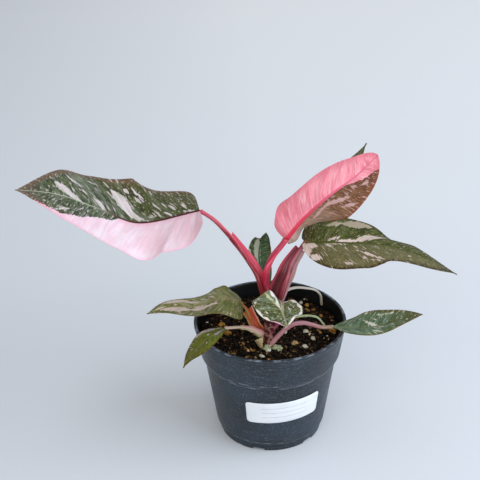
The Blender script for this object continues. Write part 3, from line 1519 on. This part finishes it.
# ---- This plant ----

BLADES = (
    Blade("leaf_1_blade", "blade_pink_dark",
        BladeFinish("#222F1C", "#4C5A30", "#66725A", "#65503F", pale="#DCD0D2", pale_deep="#A9A894",
            pink="#FDE6EF", pink_deep="#F2A6BB", wisp_tone="#E2B0C0", rib="#4E161E", rib_tip="#A8AE98",
            rib_change=(58, 84), foot="#4C4A12", foot_reach=(18, 58), rose_shade="#DDB0BC",
            rose_reach=(0, 50), tip="#5A4238", tip_reach=(112, 131), grey_level=0.5, fleck_level=0.59,
            dust_level=0.6, bronze_reach=5, fray=1.0),
        rib=((-47.8, -5, 181), (-88, -12, 176), (-113.5, -18.5, 190), (-139, -28.5, 206.5),
            (-166, -32.5, 212.5)), facing=((-0.12, 0, 0.99), (0.23, -0.06, 0.97)), half_width=(38, 36.5),
        lobe=0, widest=0.57, roundness=0.44, drip=1.18, lift=((-1, -9, 8), (11, 15, 19)),
        bend=((2, 2, -22), (3, -13, -9)),
        waves=((LEFT, 0.1, 0.06, 1.5), (LEFT, 0.15, 0.08, -6.5), (RIGHT, 0.3, 0.06, 11),
            (RIGHT, 0.15, 0.07, -1), (LEFT, 0.285, 0.034, -4.2), (LEFT, 0.245, 0.012, 1.4)),
        streaks=((62.5, -28, 42, -1.5, 4.2, 0.45), (57.5, -22, 48, -12, 2.4), (106, -11, 85, 0.8, 3.3, 0.3),
            (95.1, -24, 83, -17.3, 1), (85.9, -14.3, 79.8, -10.8, 0.7), (75.7, -11.3, 67, 1.2, 1.6),
            (51.3, -32.2, 34.6, -19.1, 0.7), (54.9, -28.8, 49.5, -25.6, 1), (76.3, -29.9, 70.6, -25.9, 0.7),
            (45.3, -7.4, 38.1, -1.8, 0.8), (43.7, -21.9, 38.1, -16.3, 0.6), (19.4, -12.5, 15.9, -7.3, 1.4),
            (11.8, -15.7, 8, -5.3, 0.8), (11.3, -3.3, 2.9, -1, 0.8), (24.2, -6.5, 18.1, -1.7, 0.7),
            (29.6, -31.8, 25.4, -27, 0.6), (106.2, -19, 101.9, -17.6, 0.6), (106, 17.4, 96.7, 12.9, 0.8),
            (92.1, 11.6, 87.4, 8.8, 0.6), (92.5, 18.2, 84.9, 13.9, 0.6)), pink_side=LEFT,
        pink_border=((0, 0), (54, 0), (56.6, 1.3), (65, 8.8), (76.1, 11.7), (92.8, 19.8), (104.6, 20.6),
            (111, 16.4), (119, 11), (131, 10)), veins=11),
    Blade("leaf_2_blade", "blade_pink_under",
        BladeFinish("#4E5B36", "#6B7645", "#74806A", "#6A4A34", rib="#C4183C", rib_tip="#DC7088",
            rib_change=(22, 66), under="#643E2A", under_light="#906A48", under_rim="#7E4426",
            under_tip="#5E3014", under_pale="#BE9894", under_pink="#F994A2", pink_deep="#CC5E70",
            rose_shade="#90343F", rose_reach=(-4, 34), pink="#FFC6CC", bronze_reach=3, fleck_level=0.57,
            dust_level=0.62, wisp=0.6, under_foot="#BCA08C", foot="#6B7645", foot_reach=(18, 44),
            tip="#6A4A34", tip_reach=(44, 72)),
        rib=((11.5, -15.5, 164.5), (23, -8, 175.5), (39.5, -4, 190), (60, 3.5, 202.5), (73.5, 7.5, 215)),
        facing=((-0.67, 0.69, 0.27), (-0.39, 0.91, 0.11)), half_width=(28, 26), lobe=0.02, widest=0.44,
        roundness=0.5, drip=0.65, lift=((2, -6, 5), (24, 7, 8)), bend=((35, -7, -13), (-3, -14, -27)),
        waves=((RIGHT, 0.21, 0.06, 2.5), (LEFT, 0.26, 0.06, 7.5)),
        streaks=((31.4, 4.9, 54.3, 12.6, 1.8), (44.1, 16.1, 56.6, 21, 1.4), (64, 9.9, 67.6, 12, 0.6),
            (56.2, 4.7, 60.7, 7.6, 0.5), (0.8, 7, 13.7, 11.8, 2.5), (20, 9, 38, 5, 1.3)),
        rosy=((52, 0.4, 88, 4.5, 5.2, 0.6), (70, 4, 90, 8, 5), (0.5, 3, 9, 3.5, 1.5)), pink_side=RIGHT,
        pink_border=((0, 0), (84, 0)), veins=8, rib_width=2.5, rib_taper=0.87, rib_ridge=1.6),
    Blade("leaf_3_blade", "blade_olive_cream",
        BladeFinish("#2E380D", "#565C1D", "#4E5626", "#2E2A0C", pale="#E0CCC4", pale_deep="#A89C86",
            rib="#8C5A4A", rib_tip="#4A501E", rib_change=(5, 34), foot="#352E0C", foot_reach=(17, 42),
            half_tone="#7C7654", half_strength=0.5, tip="#463816", tip_reach=(92, 112), fleck_level=0.63,
            dust_level=0.6, roughness=0.5, gloss=0.2, fray=1.15, vein_tone=0.08),
        rib=((25, 1, 152), (54, 2, 150), (82, 0, 148.5), (109.5, -7.5, 141.5), (132, -2, 125.5)),
        facing=((0.08, -0.3, 0.95), (0.6, -0.16, 0.78)), half_width=(28.5, 30), lobe=0.02, widest=0.26,
        roundness=1.02, drip=1.34, lift=((9, -11, -15), (10, 10, 3)), bend=((-2, -7, -20), (-22, 4, -2)),
        waves=((LEFT, 0.61, 0.06, -5), (RIGHT, 0.52, 0.06, -2)),
        streaks=((25, 20.5, 48, 23.5, 4.2, 0.5, 1.0), (16, 16, 28, 22, 2, 0.5, 0.8),
            (15, -1.8, 29.5, -2.2, 0.9, 0.8), (19, -1, 38, 3.6, 2.0), (33, 1, 57, 15.5, 3.0, 0.45),
            (12, -3, 19, -4.2, 1), (-1.5, -1, 0, -17, 4.2), (-1, -4, 8, -4.5, 3.0),
            (1.5, -14.5, 10, -18, 2.8), (14.8, -3.1, 18.1, -4.1, 0.9), (34.9, -8.4, 56.3, -20.5, 1.0, 0.65),
            (35.8, -11.3, 44, -20.5, 0.9), (43, -19, 55, -21.5, 0.6), (24.5, -23.4, 34.8, -24.4, 0.9),
            (16.1, 1.4, 24, 6.1, 0.9), (80.9, 10.8, 87.9, 9.8, 0.8)), veins=10),
    Blade("leaf_4_blade", "blade_green_cream",
        BladeFinish("#22381F", "#4E7038", "#4E7058", "#3A4A2A", pale="#E0E2D6", pale_deep="#AEBAA2",
            rib="#3E6A50", rib_tip="#6A8460", bronze_reach=0.8, foot="#4A8266", foot_reach=(10, 24),
            scale=0.7, vein_tone=0.1),
        rib=((-2.5, 1.5, 112.5), (-4.5, 14.5, 118), (-7, 22.5, 126.5), (-6, 25, 138), (-2, 20, 149.5)),
        facing=((0.42, -0.32, 0.85), (-0.14, -0.93, -0.34)), half_width=(8, 8.8), lobe=0.03, widest=0.6,
        roundness=2.4, drip=0.6, lift=((20, 12, 9), (17, 19, 21)), bend=((4, -4, -11), (-4, -7, -9)),
        waves=((LEFT, 0.9, 0.07, 4.5),),
        streaks=((45, 3.4, 21, 0, 2.3, 0.5, 0.5), (34, 7.5, 12, 6.5, 3.0, 0.5, 0.5), (12, 7.5, 3, 3, 2.5)),
        veins=6),
    Blade("leaf_5_blade", "blade_olive_streaked",
        BladeFinish("#60662E", "#868C46", "#9A9C6E", "#5E6230", pale="#D8C4BC", pale_deep="#B5A88F",
            rib="#8A7A50", rib_tip="#8E8A5A", bronze_reach=2, foot="#50541C", foot_reach=(6, 38),
            fleck_level=0.6, half_tone="#42481A", half_strength=0.5, half_side=LEFT),
        rib=((-21, -12.5, 113.5), (-36.5, -16, 117.5), (-51.5, -17.5, 112.5), (-71.5, -18, 112),
            (-86, -25, 111.5)), facing=((0.15, 0.4, 0.9), (-0.01, -0.06, 1)), half_width=(20, 19.5),
        lobe=0.02, widest=0.2, roundness=0.4, drip=1.13, lift=((-35, -9, 4), (7, 5, 9)),
        bend=((-24, 15, -30), (13, -7, -16)), waves=((LEFT, 0.05, 0.08, -2.5), (RIGHT, 0.28, 0.08, 3)),
        streaks=((56.2, -5.4, 43, -7.2, 1.3), (43, -7.2, 29.9, -5.3, 1.3), (30.7, -12.3, 24.1, -5, 0.7),
            (22.1, -8, 18.4, -3.6, 0.6), (18.1, -12.1, 14.2, -9.1, 0.6), (61.5, -1.6, 50, 4.5, 1.9),
            (57, 2.5, 36, 5, 3.4), (38, 5, 17, 6, 2.3, 0.3), (53, -7, 38, -10, 1.6),
            (50, 4.5, 39.9, 4.3, 1.9), (40.2, 0, 26.7, 2.4, 0.7), (30.1, 11.7, 25.7, 13, 0.6)), veins=8),
    Blade("leaf_6_blade", "blade_olive",
        BladeFinish("#566414", "#7C8E26", "#7E8C30", "#4E4A14", pale="#D8C4CA", pale_deep="#BFA98C",
            rib="#77803A", rib_tip="#5A5420", bronze_reach=1.4, scale=0.8, gloss=0.24, tip="#565410",
            tip_reach=(12, 34), vein_tone=0.15),
        rib=((-32, -24, 98), (-42, -30, 96), (-49.5, -35, 91), (-56.5, -39, 85), (-61.5, -43.5, 78.5)),
        facing=((-0.27, 0.09, 0.96), (-0.71, -0.19, 0.68)), half_width=(12, 12), lobe=-0.02, widest=0.38,
        roundness=1.15, drip=1.13, lift=((14, 4, 7), (-3, 5, 2)), bend=((0, -12, -9), (-10, 0, -6)),
        streaks=((2, -3, 12, -10, 1.2), (11, -9.3, 20, -11.2, 1), (11.7, 4.3, 1.4, 1, 2.1),
            (14.2, -1.7, 12.1, -2.8, 0.6), (19.2, 4.7, 17, 4.8, 0.5), (18.2, -10.1, 20.2, -10.1, 0.7),
            (16.2, -9.5, 1.3, -2.7, 0.8)), veins=6),
    Blade("leaf_7_blade", "blade_green_cream",
        BladeFinish("#2C3C24", "#667038", "#748468", "#9A9A72", pale="#F4ECE6", pale_deep="#D2CC9C",
            rib="#C8C898", rib_tip="#96907C", rib_change=(6, 20), grey_level=0.52, fleck_level=0.6,
            bronze_reach=0.3, scale=0.5, fray=0.4),
        rib=((8, -25, 115), (8, -34.5, 115.5), (9.5, -42, 114.5), (10, -46, 111.5)),
        facing=((0.16, 0.06, 0.99), (0.06, -0.55, 0.83)), half_width=(14, 21.5), lobe=0.31, widest=0.18,
        roundness=0.88, drip=1.21, notch=0.05, lift=((14, 0, 3), (15, 5, 1)),
        bend=((-3, -13, -12), (-13, -2, -13)), waves=((RIGHT, 0.12, 0.08, 6.5), (LEFT, 0.13, 0.08, 2)),
        streaks=((-4.8, -14, -1.6, -7, 0.32, 0.5, 1.0), (-2.5, -8.3, 4, -1.8, 0.35, 0.5, 1.0),
            (2.4, -3, 9, 0.2, 0.35, 0.5, 1.0), (-6, -12, -3.6, -3.6, 1.1), (-4.4, -6.2, 4.2, -0.9, 1.0),
            (9.2, -18.9, 12.5, -15.2, 1.5), (12.5, -15.2, 15.5, -10.6, 1.1), (7.5, -20.5, -3, -17, 0.5),
            (-6.9, 0.7, -6.2, 6, 1.1), (-6.2, 6, -3.3, 10.3, 1.3), (-3.3, 10.3, 3, 13.4, 1.2),
            (3, 13.4, 9, 11.6, 0.8), (9, 11.6, 20.5, 1.6, 0.7), (2.5, -12, 7, -9.5, 0.4),
            (9, -13, 12, -9, 0.35), (1, 4, 7, 6, 0.3), (-2, 6, 4, 9, 0.3)),
        rosy=((15.5, -10.6, 22.3, -0.5, 0.7),), veins=5),
    Blade("leaf_8_blade", "blade_green",
        BladeFinish("#43603E", "#648058", "#6E8C74", "#56581F", pale="#E8EADC", pale_deep="#B4C494",
            rib="#7E9068", rib_tip="#5E602A", rib_change=(20, 50), tip="#5C5E26", tip_reach=(42, 58),
            fleck_level=0.6, dust_level=0.64),
        rib=((44.5, -15.5, 92), (59.5, -21.5, 94), (75.5, -24, 97.5), (90.5, -25, 103), (105, -28, 109)),
        facing=((-0.04, 0.22, 0.98), (-0.39, 0.05, 0.92)), half_width=(18, 17), lobe=-0.01, widest=0.4,
        roundness=1.19, drip=0.92, lift=((7, 10, 0), (19, 11, 9)), bend=((-10, 11, -11), (5, -12, -3)),
        streaks=((20.5, 10.1, 37.3, -5.5, 1.4), (25.7, 1.4, 32.1, -5.6, 0.6), (28.3, -8.2, 36.8, -13.3, 0.7),
            (31.2, 12.7, 46, 9.9, 0.7), (35, 10.5, 37, 6.9, 0.4), (28.6, 9.6, 31.8, 6.5, 0.5),
            (21.7, 16.6, 25.3, 15.9, 0.6)), veins=8),
    Blade("leaf_9_blade", "blade_dark_green",
        BladeFinish("#465A44", "#627654", "#6A7C6C", "#56583E", rib="#6E7A4A", rib_tip="#6E7A4A",
            fleck_level=0.7), rib=((31.9, 38, 148.5), (48.9, 48, 167), (61.9, 58, 182), (72.9, 68, 196.5)),
        facing=((-0.39, -0.62, 0.68), (-0.41, -0.54, 0.74)), half_width=(13, 13.5), lobe=0, widest=0.32,
        roundness=0.8, drip=1.38, lift=((12, 11, 11), (12, 12, 14)), bend=((-6, -6, -6), (-6, -6, -6)),
        veins=8),
)

CRIMSON = ((0.0, "#D8506A"), (0.35, "#C42F4E"), (0.65, "#A81C38"), (1.0, "#7A0A20"))
PETIOLES = (
    Petiole("leaf_2_petiole", "petiole_red",
        PetioleFinish(((0.0, "#A81C38"), (0.35, "#DC2C54"), (0.7, "#C8284A"), (1.0, "#8A1028")), CRIMSON,
            "#C83A54", "#8A2838", "#F090A4", (0.9, 16, 1), 0.55, 0.6),
        ((-0.7, -11, 108.8), (-2, -10.2, 118.5), (-2.6, -10, 128), (-1.8, -10, 137.9), (2, -11, 147.9),
            (7.4, -13.5, 157.1), (10.6, -15.1, 163)), ((1, 0, 0.2), (-0.6, 0.7, 0.3)), radii=(2.5, 2.0)),
    Petiole("leaf_1_petiole", "petiole_red",
        PetioleFinish(
            ((0.0, "#E8587A"), (0.28, "#D43E5C"), (0.48, "#E48698"), (0.62, "#A80E26"), (1.0, "#7A0614")),
            ((0.0, "#E04C68"), (0.4, "#A01028"), (0.7, "#7E0A1C"), (1.0, "#9A1228")), "#C84860", "#7A0E1C",
            "#F0A8AC"),
        ((-1.8, -11.5, 101.5), (-3, -10.2, 112), (-5.2, -10, 121), (-9.6, -10, 135), (-17.9, -10, 149.5),
            (-26.3, -9, 161.2), (-33, -8, 169.5), (-38, -7, 174.6), (-43, -6, 178.2), (-46.8, -5.1, 180.3)),
        ((0.97, -0.25, 0.1), (0.45, -0.4, 0.8)), 0.5, (1.9, 1.35), 1,
        Sheath(0.7, (5.6, 5, 3.7), (105, 80, 72), 3)),
    Petiole("leaf_3_petiole", "petiole_maroon",
        PetioleFinish(((0.0, "#B89098"), (0.3, "#A06A74"), (0.7, "#9A3444"), (1.0, "#B83048")),
            ((0.0, "#DCC4C2"), (0.3, "#C8A2A4"), (0.37, "#5A1820"), (0.45, "#E48494"),
             (0.53, "#6E1826"), (0.78, "#4E1018"), (0.93, "#962438"), (1.0, "#DC4A64")),
            "#8A2434", "#A02038", "#D0707E", (0.9, 40, 1), 0.4, 0.9),
        ((1.6, -10.5, 100), (4, -9.5, 108), (5.8, -9.2, 114.5), (8.4, -8.6, 122.5), (11.8, -8.2, 131),
            (15, -5.5, 138.5), (19, -3, 144.5), (22, -1, 148.4), (23.6, 0, 150.1)),
        ((-0.8, -0.55, 0.2), (-0.35, -0.85, 0.4)), 0.6, (1.9, 1.5), 1,
        Sheath(0.94, (5.4, 7.4, 3.9), (95, 80, 76), 0.5)),
    Petiole("leaf_9_petiole", "petiole_maroon",
        PetioleFinish(((0.0, "#6E2A38"), (0.5, "#8A3A48"), (1.0, "#5A1F2C")), CRIMSON, "#6A5A30", "#6E2A38",
            "#A06070"),
        ((0.6, -10, 98), (3.6, -3.4, 106), (8, 2.5, 115.5), (13.6, 9.5, 123.6), (20.5, 18.5, 131.5),
            (27.4, 28.5, 139.4), (31.4, 37.3, 147.7)), ((-0.5, -0.6, 0.5), (-0.4, -0.6, 0.7)),
        radii=(2, 1.2)),
    Petiole("leaf_4_petiole", "petiole_green",
        PetioleFinish(((0.0, "#6F7A4C"), (0.5, "#8A9464"), (1.0, "#5E6A3C")), CRIMSON, "#6F7A4C", "#8A8A5A",
            "#A9B080"), ((-1, -11.5, 94), (-4.2, -5.5, 101), (-4.4, -2, 106.5), (-2.9, 0.4, 111.3)),
        ((0.4, -0.3, 0.9), (0.4, -0.3, 0.9)), radii=(1.5, 1)),
    Petiole("leaf_5_petiole", "petiole_tan",
        PetioleFinish(
            ((0.0, "#E0A88A"), (0.1, "#C4502A"), (0.66, "#C8602E"), (0.8, "#9A9A5A"), (1.0, "#7E8A48")),
            ((0.0, "#E6B090"), (0.1, "#B8401C"), (0.45, "#A8441E"), (0.76, "#C05A28"),
             (0.88, "#94A058"), (1.0, "#A8B070")),
            "#8A6A34", "#C8284A", "#DC8450"),
        ((-2, -14, 81.5), (-6, -14.6, 86), (-9.7, -14, 91), (-13.2, -13, 98), (-16.6, -12.6, 105.6),
            (-19, -12.5, 109), (-20, -12.4, 111)), ((0.35, -0.8, 0.5), (0.3, -0.75, 0.6)), 0.6, (1.3, 0.9),
        1, Sheath(0.8, (4.2, 4.6, 5.4), (78, 62, 56), 1.5)),
    Petiole("leaf_6_petiole", "petiole_tan",
        PetioleFinish(((0.0, "#A8A068"), (0.5, "#D8C8B0"), (1.0, "#A89870")),
            ((0.0, "#CC8088"), (0.4, "#DCB4AC"), (0.7, "#C0B490"), (1.0, "#A8A070")), "#DCC4B4", "#C42848",
            "#E8C4BC"),
        ((-1.8, -16.5, 82.5), (-5, -16.6, 86.4), (-10.5, -17.6, 91), (-16, -19.5, 94.5), (-21.5, -21, 96.4),
            (-27.5, -23, 97.6), (-31.4, -23.8, 97.9)), ((0.1, -0.85, 0.5), (0, -0.4, 0.9)), 0.45, (1.2, 1.1),
        0.8, Sheath(0.68, (2.3, 2.5, 1.6), (85, 70, 60), 1)),
    Petiole("leaf_7_petiole", "petiole_red",
        PetioleFinish(((0.0, "#B0586C"), (0.5, "#A64A62"), (1.0, "#7A2A40")), CRIMSON, "#A07A60", "#A64A62",
            "#D090A0"), ((-0.5, -16, 90), (4.5, -17.4, 96), (6.8, -20.6, 104.5), (7.8, -24.2, 113.4)),
        ((0, -1, 0.2), (0, -0.9, 0.4)), radii=(1.5, 1.1)),
    Petiole("leaf_8_petiole", "petiole_mauve",
        PetioleFinish(((0.0, "#A4646E"), (0.5, "#C08890"), (1.0, "#8E5460")), CRIMSON, "#A89A70", "#DCA4A8",
            "#E0C4C4"),
        ((-0.8, -20.6, 81), (2.6, -21, 85.4), (6.4, -19.6, 89.2), (10.4, -17.2, 92), (15.6, -15, 94.2),
            (22.5, -13.2, 94.4), (29.5, -13, 92.6), (36.5, -14.2, 91), (44.2, -15.4, 91.8)),
        ((0, -0.3, 1), (0, -0.2, 1)), radii=(2.2, 1.5), flat=0.75),
    Petiole("dried_petiole", "dried_strip",
        PetioleFinish(((0.0, "#D2CCC0"), (0.5, "#E2DDD2"), (1.0, "#B8B09C")), CRIMSON, "#B8AC90", "#C0B090",
            "#EEEAE2", roughness=0.6),
        ((0.5, -12, 93), (5, -5, 104), (10.5, 4, 109.5), (18.5, 12, 108.4), (28, 19, 103.6),
            (34.4, 24.6, 98.4), (38.4, 29.4, 91), (39.6, 31.6, 82)), ((0, 0, 1), (0.6, 0.5, 0.6)),
        radii=(1.2, 1.0), flat=0.8),
    Petiole("scale_leaf", "petiole_green",
        PetioleFinish(((0.0, "#9DB07A"), (0.5, "#B4C494"), (1.0, "#84965E")), CRIMSON, "#C0C8A0", "#9DB07A",
            "#CAD4B0"),
        ((-0.4, -13.5, 92), (8, -5.5, 92.8), (16, -2, 92), (25.5, 1.5, 91), (30.5, 2.2, 90.2), (35, 3, 88),
            (39.5, 3, 82)), ((0, -0.4, 1), (0.3, -0.4, 0.9)), radii=(1.2, 0.8), flat=0.7),
    Petiole("dried_sheath", "dried_strip",
        PetioleFinish(((0.0, "#C9B080"), (0.5, "#B59A60"), (1.0, "#D4C294")),
            ((0.0, "#DCCC9C"), (0.5, "#A88A50"), (1.0, "#C9B080")), "#DCCC9C", "#9A7A48", "#D8C8A0",
            roughness=0.6), ((-6.2, -24, 80), (-7.8, -22, 82), (-9.4, -19.8, 85.4)),
        ((0.45, 0.6, 0.6), (0.45, 0.6, 0.6)), sheath=Sheath(1, (2.8, 6.4, 9.4), (60, 58, 56))),
)


def main() -> None:
    """Builds the plant, its pot and the studio."""
    logging.basicConfig(level=logging.INFO, format="%(name)s: %(message)s")
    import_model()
    for part in (Pot(), Label(), Soil(), Stem(), *PETIOLES, *BLADES):
        part.build()
    Studio().build()


if __name__ == "__main__":
    main()
